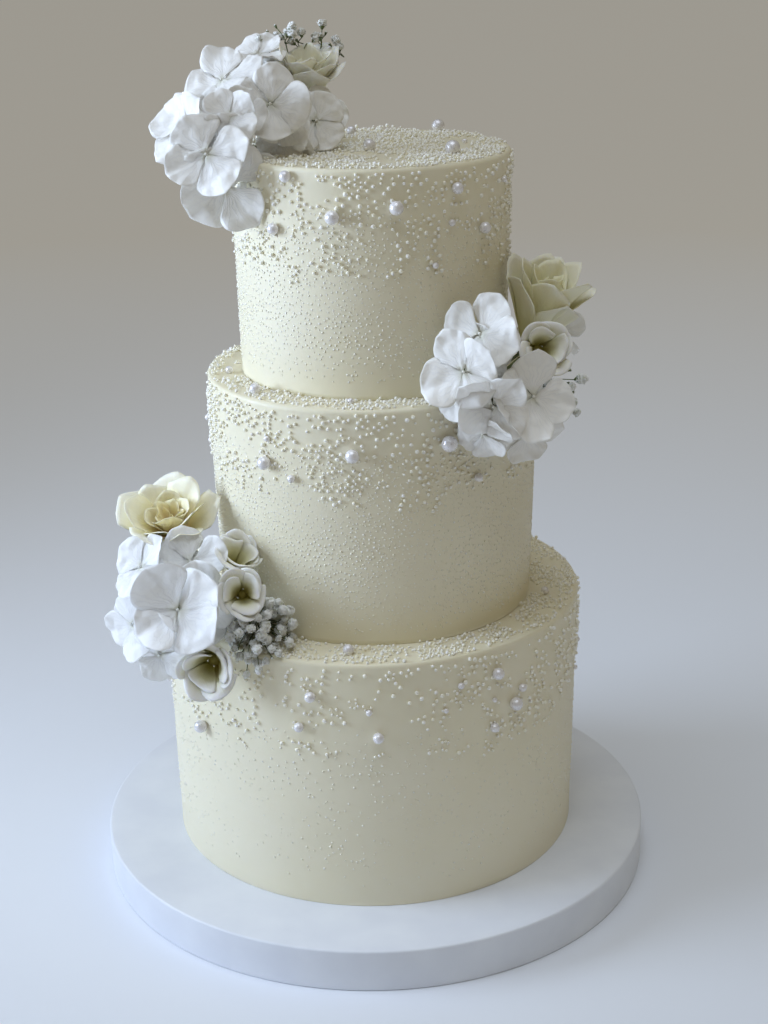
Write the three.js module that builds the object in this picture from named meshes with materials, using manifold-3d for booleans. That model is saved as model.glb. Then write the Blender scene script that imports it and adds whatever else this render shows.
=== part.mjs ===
// A three-tier buttercream wedding cake on its thick round board, dressed with sugar
// pearls and three posies of fresh flowers: hydrangea florets, open roses, lisianthus
// and gypsophila. Each tier is one solid, with a crisp level top.
//
// Millimetres, +Z up. The origin is the centre of the board's underside, and the
// cake's front faces -Y.

import * as THREE from 'three';
import { mergeVertices } from 'three/addons/utils/BufferGeometryUtils.js';
import Module from 'manifold-3d';

const wasm = await Module();
wasm.setup();

// ---------- driving dimensions ----------

const GAP = 0.3;                 // between a tier and what it stands on
const CLEARANCE = 0.25;          // left round a solid where another is cut back from it

const BOARD = { radius: 178, height: 27, edgeRound: 1.5 };

const RIM_ROUND = 2.5;           // radius of the rim where a tier's top meets its side
const FOOT_ROUND = 1;            // radius where the side meets what the tier stands on

// Each tier stands on what is below it. Its axis lies at x, y.
const TIERS = [
  { name: 'bottom_tier', x: 0, y: 0, footRadius: 130, topRadius: 132.3, height: 162 },
  { name: 'middle_tier', x: 3, y: -7.5, footRadius: 97.5, topRadius: 101, height: 145 },
  { name: 'top_tier', x: 4, y: -8, footRadius: 80.5, topRadius: 82.5, height: 131 },
];

const PEARL = { large: 8, medium: 6.6 };   // diameters of the sugar pearls
const PEARL_PRESS = 0.6;                   // how far a pearl is pressed into the icing

// Pearls on a tier's side: tier, azimuth in degrees from +X, depth below the rim, size.
const SIDE_PEARLS = [
  ['top_tier', -124, 5, PEARL.medium],
  ['top_tier', -105, 26, PEARL.large],
  ['top_tier', -81, 21, PEARL.large],
  ['top_tier', -131, 35, PEARL.medium],
  ['top_tier', -56, 13, PEARL.medium],
  ['top_tier', -41, 38, PEARL.medium],
  ['middle_tier', -128, 36, PEARL.large],
  ['middle_tier', -97, 26, PEARL.large],
  ['middle_tier', -66, 22, PEARL.large + 1.4],
  ['bottom_tier', -106, 21, PEARL.medium],
  ['bottom_tier', -142, 62, PEARL.large],
  ['bottom_tier', -89, 46, PEARL.medium],
  ['bottom_tier', -51, 40, PEARL.large],
  ['bottom_tier', -57, 16, PEARL.large - 0.8],
];

// Pearls on a tier's top: tier, azimuth, distance from the tier's axis, size.
const TOP_PEARLS = [
  ['top_tier', -93, 13, PEARL.large - 0.8],
  ['top_tier', 56, 76, PEARL.large],
  ['top_tier', -35, 57, PEARL.large + 0.6],
  ['middle_tier', -138, 92, PEARL.medium],
  ['bottom_tier', -97, 117, PEARL.medium],
];

// The flowers of each posy, the foremost first, because a flower behind is cut back
// from those before it. Centre of the flower's eye, the way it faces, its turn about
// that line in degrees, and how wide it is across.
const POSIES = [
  {
    name: 'left', heart: [-92, -72, 214], foot: [-72, -56, 190],
    flowers: [
      ['hydrangea_1', floret, [-112, -114, 218], [-0.16, -0.9, 0.36], 32, 56],
      ['lisianthus_1', lisianthus, [-96, -122, 184], [-0.14, -0.95, 0.12], 0, 35],
      ['lisianthus_2', lisianthus, [-75, -112, 226], [0.06, -0.92, 0.38], 40, 29],
      ['hydrangea_2', floret, [-136, -86, 234], [-0.56, -0.68, 0.48], 30, 42],
      ['hydrangea_3', floret, [-143, -88, 198], [-0.66, -0.72, 0.16], -10, 40],
      ['hydrangea_4', floret, [-126, -101, 184], [-0.36, -0.84, -0.3], 35, 38],
      ['hydrangea_5', floret, [-106, -89, 238], [-0.02, -0.76, 0.65], 5, 43],
      ['lisianthus_3', lisianthus, [-78, -85, 241], [0.3, -0.46, 0.84], 20, 30],
      ['rose', rose, [-121, -56, 253], [-0.08, -0.44, 0.88], 10, 64],
      ['hydrangea_6', floret, [-140, -34, 220], [-0.8, 0.45, 0.38], 20, 44],
      ['gypsophila', spray, [-65, -105, 200], [0.35, -0.85, 0.15], 0, 54],
    ],
  },
  {
    name: 'right', heart: [86, -72, 352], foot: [72, -58, 335],
    flowers: [
      ['hydrangea_1', floret, [53, -114, 357], [-0.42, -0.86, 0.28], 8, 46],
      ['hydrangea_2', floret, [69, -117, 338], [-0.05, -0.98, -0.12], 40, 44],
      ['hydrangea_3', floret, [92, -106, 340], [0.4, -0.88, 0.14], 15, 47],
      ['hydrangea_4', floret, [63, -97, 374], [-0.46, -0.78, 0.42], 50, 46],
      ['lisianthus_1', lisianthus, [101, -84, 362], [0.22, -0.9, 0.3], 0, 32],
      ['hydrangea_5', floret, [91, -94, 315], [0.25, -0.8, -0.5], 25, 41],
      ['hydrangea_6', floret, [64, -109, 320], [-0.3, -0.8, -0.5], 0, 36],
      ['rose', rose, [104, -42, 380], [0.34, -0.26, 0.9], 0, 66],
      ['hydrangea_7', floret, [112, -12, 354], [0.7, 0.6, 0.35], 10, 42],
      ['gypsophila', spray, [111, -66, 330], [0.75, -0.6, -0.1], 0, 44],
    ],
  },
  {
    name: 'top', heart: [-58, -16, 482], foot: [-46, -14, 466],
    flowers: [
      ['hydrangea_1', floret, [-52, -43, 495], [0.02, -0.92, 0.36], -5, 44],
      ['hydrangea_2', floret, [-27, -24, 483], [0.2, -0.9, 0.32], 60, 38],
      ['hydrangea_3', floret, [-87, -66, 471], [-0.22, -0.93, 0.2], 10, 46],
      ['hydrangea_4', floret, [-74, -56, 490], [-0.15, -0.85, 0.45], 35, 34],
      ['hydrangea_5', floret, [-100, -42, 482], [-0.7, -0.6, 0.35], 10, 46],
      ['hydrangea_6', floret, [-78, -62, 453], [-0.06, -0.98, -0.14], 45, 52],
      ['hydrangea_7', floret, [-80, -20, 506], [-0.45, -0.42, 0.78], 0, 48],
      ['hydrangea_8', floret, [-61, 2, 518], [-0.1, -0.4, 0.88], 40, 38],
      ['hydrangea_9', floret, [-47, -38, 473], [-0.1, -0.95, 0], 20, 32],
      ['rose', rose, [-33, 4, 507], [0.12, -0.3, 0.94], 0, 58],
      ['hydrangea_10', floret, [-74, 28, 490], [-0.45, 0.75, 0.45], 15, 46],
      ['gypsophila', spray, [-34, 26, 521], [0, 0.1, 1], 0, 42],
    ],
  },
];

// A floret's skin is in millimetres. Its cup, the notch between its petals and its
// pedicel are parts of its span.
const FLORET = { segments: 16, rings: 5, skin: 1.7, cup: 0.14, notch: 0.24, pedicel: 0.2 };
const ROSE_RINGS = [
  // petals in the ring, distance from the axis at foot and tip, height, as parts of the
  // span, and half a petal's reach round the axis in radians
  { count: 2, foot: 0.05, tip: 0.15, height: 0.34, wide: 1.7 },
  { count: 5, foot: 0.1, tip: 0.5, height: 0.28, wide: 0.8 },
];
const PETAL = { segments: 6, rings: 4, skin: 1.8 };
const CUP_SEGMENTS = 15;         // round a lisianthus, three to each petal

const ROUND_SEGMENTS = 40;       // round a tier or the board
const RIM_STEPS = 2;             // along the rim's round

const BUTTERCREAM = { color: 0xefe9cf, roughness: 0.62 };
const BOARD_WHITE = { color: 0xf2f2f4, roughness: 0.45 };
const PEARL_WHITE = { color: 0xf1eff0, roughness: 0.25 };
const PETAL_WHITE = { color: 0xf0eff5, roughness: 0.7 };
const ROSE_CREAM = { color: 0xefe6bd, roughness: 0.7 };
const LISIANTHUS_WHITE = { color: 0xeeece0, roughness: 0.7 };
const SPRAY_WHITE = { color: 0xd5d9cb, roughness: 0.85 };
const STEM_GREEN = { color: 0x5c6638, roughness: 0.8 };

// ---------- closed meshes and solids ----------

// Merges shared vertices, drops collapsed triangles and turns the faces outwards.
function closed(geometry) {
  geometry.deleteAttribute('normal');
  geometry.deleteAttribute('uv');
  const merged = mergeVertices(geometry, 1e-4);
  const index = merged.getIndex().array;
  const place = merged.getAttribute('position');
  const corner = [0, 1, 2].map(() => new THREE.Vector3());
  const kept = [];
  let volume = 0;
  for (let i = 0; i < index.length; i += 3) {
    const [a, b, c] = index.slice(i, i + 3);
    if (a === b || b === c || c === a) continue;
    kept.push(a, b, c);
    [a, b, c].forEach((vertex, k) => corner[k].fromBufferAttribute(place, vertex));
    volume += corner[0].dot(corner[1].clone().cross(corner[2]));
  }
  if (volume < 0) {
    for (let i = 0; i < kept.length; i += 3) [kept[i], kept[i + 1]] = [kept[i + 1], kept[i]];
  }
  merged.setIndex(kept);
  return merged;
}

// Moves every vertex of a geometry to where the given function puts it.
function reshape(geometry, move) {
  const place = geometry.getAttribute('position');
  const point = new THREE.Vector3();
  for (let i = 0; i < place.count; i += 1) {
    point.fromBufferAttribute(place, i);
    move(point);
    place.setXYZ(i, point.x, point.y, point.z);
  }
  return geometry;
}

function solidOf(geometry) {
  return new wasm.Manifold(new wasm.Mesh({
    numProp: 3,
    vertProperties: new Float32Array(geometry.getAttribute('position').array),
    triVerts: new Uint32Array(geometry.getIndex().array),
  }));
}

function geometryOf(solid) {
  const mesh = solid.getMesh();
  const geometry = new THREE.BufferGeometry();
  geometry.setAttribute('position', new THREE.BufferAttribute(mesh.vertProperties, 3));
  geometry.setIndex(new THREE.BufferAttribute(mesh.triVerts, 1));
  return closed(geometry);
}

// The same closed mesh, larger by a margin all round.
function grown(geometry, margin) {
  const larger = geometry.clone();
  larger.computeVertexNormals();
  const place = larger.getAttribute('position');
  const normal = larger.getAttribute('normal');
  for (let i = 0; i < place.count; i += 1) {
    place.setXYZ(
      i,
      place.getX(i) + margin * normal.getX(i),
      place.getY(i) + margin * normal.getY(i),
      place.getZ(i) + margin * normal.getZ(i),
    );
  }
  larger.deleteAttribute('normal');
  return larger;
}

function largestPiece(solid) {
  const pieces = solid.decompose();
  return pieces.reduce((best, piece) => (piece.volume() > best.volume() ? piece : best));
}

// ---------- the board and the tiers ----------

// A turned profile, given as radius and height, stood up along +Z.
function turned(profile, segments) {
  const points = profile.map(([radius, height]) => new THREE.Vector2(radius, height));
  return new THREE.LatheGeometry(points, segments).rotateX(Math.PI / 2);
}

// The quarter round from a side of the given radius to a level top.
function roundOver(radius, top, round, steps) {
  return Array.from({ length: steps + 1 }, (_, step) => {
    const angle = (step / steps) * (Math.PI / 2);
    return [radius - round * (1 - Math.cos(angle)), top - round * (1 - Math.sin(angle))];
  });
}

function boardGeometry() {
  const { radius, height, edgeRound } = BOARD;
  const profile = [
    [0, 0],
    [radius - edgeRound, 0],
    [radius, edgeRound],
    ...roundOver(radius, height, edgeRound, RIM_STEPS),
    [0, height],
  ];
  return closed(turned(profile, ROUND_SEGMENTS));
}

function tierGeometry(tier) {
  const profile = [
    [0, 0],
    [tier.footRadius - FOOT_ROUND, 0],
    [tier.footRadius, FOOT_ROUND],
    ...roundOver(tier.topRadius, tier.height - GAP, RIM_ROUND, RIM_STEPS),
    [0, tier.height - GAP],
  ];
  const geometry = turned(profile, ROUND_SEGMENTS);
  geometry.translate(tier.x, tier.y, tier.floor + GAP);
  return closed(geometry);
}

// ---------- sugar pearls ----------

function pearlGeometry(centre, diameter) {
  const ball = new THREE.IcosahedronGeometry(diameter / 2, 1);
  ball.translate(...centre);
  return closed(ball);
}

function sidePearlCentre(tier, azimuth, drop, diameter) {
  const angle = THREE.MathUtils.degToRad(azimuth);
  const rise = (tier.height - drop) / tier.height;
  const side = THREE.MathUtils.lerp(tier.footRadius, tier.topRadius, rise);
  const reach = side + diameter / 2 - PEARL_PRESS;
  return [
    tier.x + reach * Math.cos(angle),
    tier.y + reach * Math.sin(angle),
    tier.floor + tier.height - drop,
  ];
}

function topPearlCentre(tier, azimuth, reach, diameter) {
  const angle = THREE.MathUtils.degToRad(azimuth);
  return [
    tier.x + reach * Math.cos(angle),
    tier.y + reach * Math.sin(angle),
    tier.floor + tier.height + diameter / 2 - PEARL_PRESS,
  ];
}

// ---------- flowers, each made about its own eye, facing +Z ----------

// A hydrangea floret: four broad petals cupped round the eye, on a short pedicel.
function floret(span) {
  const form = new THREE.SphereGeometry(1, FLORET.segments, FLORET.rings).rotateX(Math.PI / 2);
  const outermost = Math.cos(Math.PI / (2 * FLORET.rings));
  return reshape(form, (point) => {
    const reach = Math.min(1, Math.hypot(point.x, point.y) / outermost);
    const angle = Math.atan2(point.y, point.x);
    const offPetal = Math.abs(Math.sin(2 * angle + Math.PI / 2));
    const edge = (span / 2) * (1 - FLORET.notch * offPetal ** 3);
    const side = Math.sign(Math.round(point.z * 1e3));
    const out = edge * reach ** 2.4;
    const cup = FLORET.cup * span * (out / edge) ** 2;
    const stalk = side < 0 ? FLORET.pedicel * span * Math.max(0, 1 - 2 * reach) : 0;
    point.set(out * Math.cos(angle), out * Math.sin(angle), cup - stalk + (side * FLORET.skin) / 2);
  });
}

// One petal of a rose: a disc wrapped round the flower's axis and leant outwards.
function rosePetal(span, ring, turn) {
  const form = new THREE.SphereGeometry(1, PETAL.segments, PETAL.rings).rotateX(Math.PI / 2);
  return closed(reshape(form, (point) => {
    const rise = (point.y + 1) / 2;
    const round = turn + ring.wide * point.x;
    const lean = THREE.MathUtils.lerp(ring.foot, ring.tip, rise ** 1.5) * span;
    const out = lean + (point.z * PETAL.skin) / 2;
    point.set(out * Math.cos(round), out * Math.sin(round), ring.height * span * (rise - 0.8));
  }));
}

// A rose: rings of wrapped petals on a rounded base.
function rose(span) {
  const base = new THREE.SphereGeometry(0.17 * span, 9, 5).rotateX(Math.PI / 2);
  base.translate(0, 0, -0.2 * span);
  let flower = solidOf(closed(base));
  ROSE_RINGS.forEach((ring, layer) => {
    for (let i = 0; i < ring.count; i += 1) {
      const turn = ((i + layer * 0.5) / ring.count) * 2 * Math.PI;
      flower = flower.add(solidOf(rosePetal(span, ring, turn)));
    }
  });
  return geometryOf(flower);
}

// A lisianthus: a deep cup whose waved rim is five overlapping petals.
function lisianthus(span) {
  const rim = span / 2;
  const profile = [
    [0, -0.95 * rim],
    [0.4 * rim, -0.8 * rim],
    [0.72 * rim, -0.3 * rim],
    [rim, 0.2 * rim],
    [0.84 * rim, 0.24 * rim],
    [0.5 * rim, -0.2 * rim],
    [0, -0.55 * rim],
  ];
  return reshape(turned(profile, CUP_SEGMENTS), (point) => {
    const angle = Math.atan2(point.y, point.x);
    const high = Math.max(0, (point.z + 0.3 * rim) / rim);
    const wave = 1 + 0.14 * high * Math.sin(5 * angle);
    point.set(point.x * wave, point.y * wave, point.z);
  });
}

// A gypsophila spray: many tiny flower heads, as one uneven mound.
function spray(span) {
  const form = new THREE.IcosahedronGeometry(span / 2, 2);
  return reshape(form, (point) => {
    const { x, y, z } = point.clone().multiplyScalar(9 / span);
    const bumps = Math.sin(2.1 * x + 1) * Math.sin(1.7 * y + 2) * Math.sin(1.9 * z);
    point.multiplyScalar(0.84 + 0.16 * bumps);
  });
}

// Turns a flower from +Z to the way it faces and sets its eye at the centre.
function placed(geometry, centre, facing, spin) {
  const front = new THREE.Vector3(...facing).normalize();
  const turn = new THREE.Quaternion().setFromUnitVectors(new THREE.Vector3(0, 0, 1), front);
  geometry.rotateZ(THREE.MathUtils.degToRad(spin));
  geometry.applyQuaternion(turn);
  geometry.translate(...centre);
  return closed(geometry);
}

// The bundled stems of a posy: a tapered bunch from the tier up to the posy's heart.
function stemsGeometry(foot, heart) {
  const low = new THREE.Vector3(...foot);
  const rise = new THREE.Vector3(...heart).sub(low);
  const length = rise.length();
  const bundle = new THREE.CylinderGeometry(13, 6, length, 10).rotateX(Math.PI / 2);
  bundle.translate(0, 0, length / 2);
  return placed(bundle, foot, rise.toArray(), 0);
}

// ---------- the whole cake ----------

const cake = new THREE.Group();
const made = [];                 // every solid so far, with its grown copy as a cutter

// Adds a named piece, cut back from the solids made before it.
function addPiece(name, geometry, look) {
  let solid = solidOf(geometry);
  const own = solid.boundingBox();
  for (const other of made) {
    const apart = [0, 1, 2].some((axis) => (
      other.box.min[axis] > own.max[axis] || other.box.max[axis] < own.min[axis]
    ));
    if (!apart) solid = solid.subtract(other.cutter);
  }
  const shape = geometryOf(largestPiece(solid));
  const cutter = solidOf(shape).add(solidOf(grown(shape, CLEARANCE)));
  made.push({ cutter, box: cutter.boundingBox() });
  const mesh = new THREE.Mesh(shape, new THREE.MeshStandardMaterial({ metalness: 0, ...look }));
  mesh.name = name;
  cake.add(mesh);
}

addPiece('cake_board', boardGeometry(), BOARD_WHITE);

let floor = BOARD.height;
for (const tier of TIERS) {
  tier.floor = floor;
  addPiece(tier.name, tierGeometry(tier), BUTTERCREAM);
  floor += tier.height;
}

const tierNamed = (name) => TIERS.find((tier) => tier.name === name);
let pearlCount = 0;

function addPearl(centre, diameter) {
  pearlCount += 1;
  addPiece(`pearl_${pearlCount}`, pearlGeometry(centre, diameter), PEARL_WHITE);
}

for (const [name, azimuth, drop, diameter] of SIDE_PEARLS) {
  addPearl(sidePearlCentre(tierNamed(name), azimuth, drop, diameter), diameter);
}
for (const [name, azimuth, reach, diameter] of TOP_PEARLS) {
  addPearl(topPearlCentre(tierNamed(name), azimuth, reach, diameter), diameter);
}

const LOOKS = new Map([
  [floret, PETAL_WHITE],
  [rose, ROSE_CREAM],
  [lisianthus, LISIANTHUS_WHITE],
  [spray, SPRAY_WHITE],
]);

for (const posy of POSIES) {
  for (const [name, make, centre, facing, spin, span] of posy.flowers) {
    const geometry = placed(make(span), centre, facing, spin);
    addPiece(`${posy.name}_${name}`, geometry, LOOKS.get(make));
  }
  addPiece(`${posy.name}_stems`, stemsGeometry(posy.foot, posy.heart), STEM_GREEN);
}

export default cake;
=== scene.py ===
"""The looks of a three-tier wedding cake: ivory buttercream, sugar pearls, nonpareils and three posies.

Metres, +Z up. The front of the cake faces -Y. The board, the tiers and the large pearls take
their places from the frame. The posies repeat the flower places of the CAD part.
"""
import math
import random
from types import SimpleNamespace

import bmesh
import bpy
import numpy as np
from mathutils import Matrix, Vector, noise


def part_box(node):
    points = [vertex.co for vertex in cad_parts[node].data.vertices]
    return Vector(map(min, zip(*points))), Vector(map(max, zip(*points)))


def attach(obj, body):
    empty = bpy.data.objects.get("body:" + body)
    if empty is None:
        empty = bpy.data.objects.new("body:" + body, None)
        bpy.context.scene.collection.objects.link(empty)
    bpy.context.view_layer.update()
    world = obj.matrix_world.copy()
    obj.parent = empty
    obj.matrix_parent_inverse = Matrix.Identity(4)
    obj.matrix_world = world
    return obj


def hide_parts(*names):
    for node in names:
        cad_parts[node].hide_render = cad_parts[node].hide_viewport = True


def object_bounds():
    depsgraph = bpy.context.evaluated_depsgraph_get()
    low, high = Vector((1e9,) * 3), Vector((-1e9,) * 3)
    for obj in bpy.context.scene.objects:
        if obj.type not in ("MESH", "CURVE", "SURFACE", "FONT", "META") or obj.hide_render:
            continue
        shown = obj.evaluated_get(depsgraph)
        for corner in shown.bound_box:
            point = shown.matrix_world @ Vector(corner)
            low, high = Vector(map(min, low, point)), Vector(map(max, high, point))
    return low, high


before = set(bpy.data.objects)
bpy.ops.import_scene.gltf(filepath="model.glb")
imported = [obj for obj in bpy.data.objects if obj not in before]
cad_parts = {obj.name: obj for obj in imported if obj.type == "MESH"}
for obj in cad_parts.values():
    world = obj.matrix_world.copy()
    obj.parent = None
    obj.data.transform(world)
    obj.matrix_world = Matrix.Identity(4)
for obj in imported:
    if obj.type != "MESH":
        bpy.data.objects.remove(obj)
cad_low, cad_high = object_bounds()

MM = 0.001
FULL_TURN = 2 * math.pi
GOLDEN_TURN = math.pi * (3 - math.sqrt(5))
UP = Vector((0, 0, 1))

# ---------- camera, floor and light ----------

CAMERA_PLACE = (0, -1.038, 0.613)
CAMERA_PITCH, CAMERA_YAW, CAMERA_ROLL = -20.05, 0.48, -0.9     # degrees
CAMERA_LENS = 61.03                                            # for a sensor 36 mm long

# Each lamp's azimuth, height and distance seen from the rim of the middle tier, the height it
# faces, how wide its light spreads, its side, its watts and its colour; angles in degrees.
SOFT_LIGHTS = [
    ("window", -171, 14, 1.1, -4, 112, 0.6, 5.6, (0.65, 0.785, 1.0)),
    ("room", -30, 25, 2.0, -25, 180, 1.6, 1.0, (1.0, 0.85, 0.5)),
]
# Azimuth and height in degrees, strength, angle across and colour of the wide light from above.
SKY_LIGHT = (-112, 78, 1.32, 50, (0.77, 0.865, 1.0))
ROOM_GLOW = (0.14, 0.115, 0.064)


def stand_camera():
    pitch, yaw, roll = (math.radians(a) for a in (-CAMERA_PITCH, CAMERA_YAW, CAMERA_ROLL))
    ahead = Vector((math.sin(yaw) * math.cos(pitch), math.cos(yaw) * math.cos(pitch), -math.sin(pitch)))
    level = Vector((math.cos(yaw), -math.sin(yaw), 0))
    aim = Matrix((level, level.cross(ahead), -ahead)).transposed() @ Matrix.Rotation(roll, 3, "Z")
    lens = bpy.data.cameras.new("camera")
    lens.lens = CAMERA_LENS
    lens.sensor_width = 36
    lens.clip_end = 50
    camera = bpy.data.objects.new("camera", lens)
    camera.matrix_world = Matrix.Translation(CAMERA_PLACE) @ aim.to_4x4()
    bpy.context.scene.collection.objects.link(camera)
    bpy.context.scene.camera = camera


def direction(azimuth, height):
    """The way to a light, from its azimuth and height in degrees."""
    a, h = math.radians(azimuth), math.radians(height)
    return Vector((math.cos(a) * math.cos(h), math.sin(a) * math.cos(h), math.sin(h)))


def stand_lamp(name, kind, colour, energy, towards, place):
    lamp = bpy.data.lights.new(name, kind)
    lamp.energy = energy
    lamp.color = colour
    stand = bpy.data.objects.new(name, lamp)
    stand.location = place
    stand.rotation_mode = "QUATERNION"
    stand.rotation_quaternion = towards.to_track_quat("Z", "Y")
    stand.visible_camera = False
    bpy.context.scene.collection.objects.link(stand)
    return lamp


def stand_lights(centre):
    for name, azimuth, height, distance, faces, spread, side, watts, colour in SOFT_LIGHTS:
        place = centre + distance * direction(azimuth, height)
        lamp = stand_lamp(name, "AREA", colour, watts, direction(azimuth, -faces), place)
        lamp.size = side
        lamp.spread = math.radians(spread)
    azimuth, height, strength, across, colour = SKY_LIGHT
    towards = direction(azimuth, height)
    lamp = stand_lamp("sky", "SUN", colour, strength, towards, centre + 3 * towards)
    lamp.angle = math.radians(across)
    world = bpy.data.worlds.new("room")
    world.use_nodes = True
    world.node_tree.nodes["Background"].inputs["Color"].default_value = (*ROOM_GLOW, 1)
    bpy.context.scene.world = world
    bpy.context.scene.view_settings.view_transform = "Standard"


# ---------- finishes ----------

class Finish:
    """A material built up node by node, which reads Object coordinates unless told otherwise."""

    def __init__(self, name, **sockets):
        self.material = bpy.data.materials.new(name)
        self.material.use_nodes = True
        self.tree = self.material.node_tree
        self.shader = self.tree.nodes["Principled BSDF"]
        self.object = self.node("ShaderNodeTexCoord").outputs["Object"]
        for socket, value in sockets.items():
            self.feed(self.shader.inputs[socket.replace("_", " ")], value)

    def feed(self, socket, value):
        if isinstance(value, bpy.types.NodeSocket):
            self.tree.links.new(value, socket)
        else:
            socket.default_value = value

    def node(self, kind, inputs=None, **settings):
        made = self.tree.nodes.new(kind)
        for setting, value in settings.items():
            setattr(made, setting, value)
        for key, value in (inputs or {}).items():
            self.feed(made.inputs[key], value)
        return made

    def noise(self, scale, detail=2.0, vector=None):
        grain = {"Vector": vector or self.object, "Scale": scale, "Detail": detail}
        return self.node("ShaderNodeTexNoise", grain).outputs[0]

    def stretched(self, scale):
        return self.node("ShaderNodeMapping", {"Vector": self.object, "Scale": scale}).outputs[0]

    def maths(self, operation, first, second=0.0, third=0.0):
        made = self.node("ShaderNodeMath", operation=operation)
        for socket, value in zip(made.inputs, (first, second, third)):
            self.feed(socket, value)
        return made.outputs[0]

    def span(self, value, low, high, new_low=0.0, new_high=1.0):
        inputs = {"Value": value, "From Min": low, "From Max": high, "To Min": new_low, "To Max": new_high}
        return self.node("ShaderNodeMapRange", inputs).outputs[0]

    def ramp(self, value, *stops):
        made = self.node("ShaderNodeValToRGB", {"Fac": value})
        colours = made.color_ramp.elements
        while len(colours) < len(stops):
            colours.new(0.5)
        for colour, (place, rgb) in zip(colours, stops):
            colour.position = place
            colour.color = (*rgb, 1)
        return made.outputs["Color"]

    def bump(self, height, depth, strength=1.0):
        bumped = {"Height": height, "Distance": depth, "Strength": strength}
        if self.shader.inputs["Normal"].is_linked:
            bumped["Normal"] = self.shader.inputs["Normal"].links[0].from_socket
        self.feed(self.shader.inputs["Normal"], self.node("ShaderNodeBump", bumped).outputs["Normal"])

    def petal(self, axis):
        """How far across (X) or along (Y) its petal a point is, from 0 to 1."""
        map_of = self.node("ShaderNodeUVMap", uv_map="petal").outputs[0]
        return self.node("ShaderNodeSeparateXYZ", {"Vector": map_of}).outputs[axis]


def buttercream():
    """Ivory icing scraped smooth: faint level drags, a fine grain and a few burst air pits."""
    made = Finish("ivory buttercream", Subsurface_Weight=0.12, Subsurface_Scale=0.002)
    made.feed(made.shader.inputs["Subsurface Radius"], (1.0, 0.85, 0.55))
    tone = made.noise(14, 3)
    made.feed(made.shader.inputs["Base Color"], made.ramp(
        tone, (0.3, (0.86, 0.805, 0.61)), (0.7, (0.88, 0.83, 0.655))))
    made.feed(made.shader.inputs["Roughness"], made.span(made.noise(160), 0.3, 0.7, 0.42, 0.58))
    made.bump(made.noise(1.0, 2, made.stretched((22, 22, 260))), 0.00006)
    made.bump(made.noise(1500, 2), 0.00004)
    pits = made.node("ShaderNodeTexVoronoi", {"Vector": made.object, "Scale": 42.0})
    rare = made.maths("GREATER_THAN", made.node(
        "ShaderNodeSeparateColor", {"Color": pits.outputs["Color"]}).outputs[0], 0.72)
    made.bump(made.maths("MULTIPLY", rare, made.span(pits.outputs["Distance"], 0.0, 0.045, -1, 0)), 0.0006)
    return made.material


def board_paper():
    """The satin white paper over the drum board."""
    made = Finish("white board paper")
    made.feed(made.shader.inputs["Base Color"], made.ramp(
        made.noise(30, 4), (0.35, (0.77, 0.80, 0.87)), (0.65, (0.82, 0.85, 0.91))))
    made.feed(made.shader.inputs["Roughness"], made.span(made.noise(220), 0.3, 0.7, 0.34, 0.46))
    made.bump(made.noise(2600, 3), 0.00003)
    return made.material


def pearl_coat():
    """Pressed sugar under a pearly lustre."""
    made = Finish("pearl lustre", Metallic=0.2, Coat_Weight=0.5, Coat_Roughness=0.16)
    made.feed(made.shader.inputs["Base Color"], made.ramp(
        made.noise(420, 2), (0.3, (0.84, 0.82, 0.86)), (0.7, (0.92, 0.90, 0.90))))
    made.feed(made.shader.inputs["Roughness"], made.span(made.noise(500), 0.3, 0.7, 0.24, 0.34))
    made.bump(made.noise(120, 0), 0.00002)
    return made.material


def bead_sugar(name, cream, middling, white):
    """Little sugar beads, some whiter and some creamier."""
    made = Finish(
        name, Coat_Weight=0.15, Coat_Roughness=0.3, Subsurface_Weight=0.5, Subsurface_Scale=0.0012)
    made.feed(made.shader.inputs["Subsurface Radius"], (1.0, 1.0, 0.9))
    made.feed(made.shader.inputs["Base Color"], made.ramp(
        made.noise(260, 1), (0.3, cream), (0.5, middling), (0.7, white)))
    made.feed(made.shader.inputs["Roughness"], made.span(made.noise(700), 0.3, 0.7, 0.36, 0.55))
    made.bump(made.noise(2500, 2), 0.00004)
    return made.material


def hydrangea_skin(name, shaded, bright):
    """White sepals with fine veins that fan out from the eye."""
    made = Finish(name, Roughness=0.6, Subsurface_Weight=0.5, Subsurface_Scale=0.0008)
    made.feed(made.shader.inputs["Subsurface Radius"], (1.0, 1.0, 1.0))
    across = made.maths("SUBTRACT", made.petal("X"), 0.5)
    along = made.petal("Y")
    fan = made.maths("DIVIDE", across, made.maths("ADD", along, 0.16))
    wander = made.maths("MULTIPLY", made.maths("SUBTRACT", made.noise(230, 2), 0.5), 0.35)
    lines = made.maths("SINE", made.maths("MULTIPLY", made.maths("ADD", fan, wander), 38.0))
    ridge = made.maths("ADD", made.maths("MULTIPLY", lines, 0.5), 0.5)
    vein = made.maths("POWER", made.maths("MAXIMUM", ridge, 0.0), 5.0)
    vein = made.maths("MULTIPLY", vein, made.span(along, 0.12, 0.95, 1.0, 0.15))
    blush = made.ramp(made.noise(45, 2), (0.35, shaded), (0.65, bright))
    heart = made.span(along, 0.0, 0.2, 1.0, 0.0)
    tint = made.node("ShaderNodeMix", data_type="RGBA")
    made.feed(tint.inputs[0], made.maths("MULTIPLY", vein, 0.34))
    made.feed(tint.inputs[6], blush)
    made.feed(tint.inputs[7], (0.68, 0.69, 0.75, 1))
    green = made.node("ShaderNodeMix", data_type="RGBA")
    made.feed(green.inputs[0], made.maths("MULTIPLY", heart, 0.55))
    made.feed(green.inputs[6], tint.outputs[2])
    made.feed(green.inputs[7], (0.66, 0.65, 0.42, 1))
    made.feed(made.shader.inputs["Base Color"], green.outputs[2])
    made.bump(vein, 0.00014, 0.8)
    made.bump(made.noise(420, 3), 0.00006)
    return made.material


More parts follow.
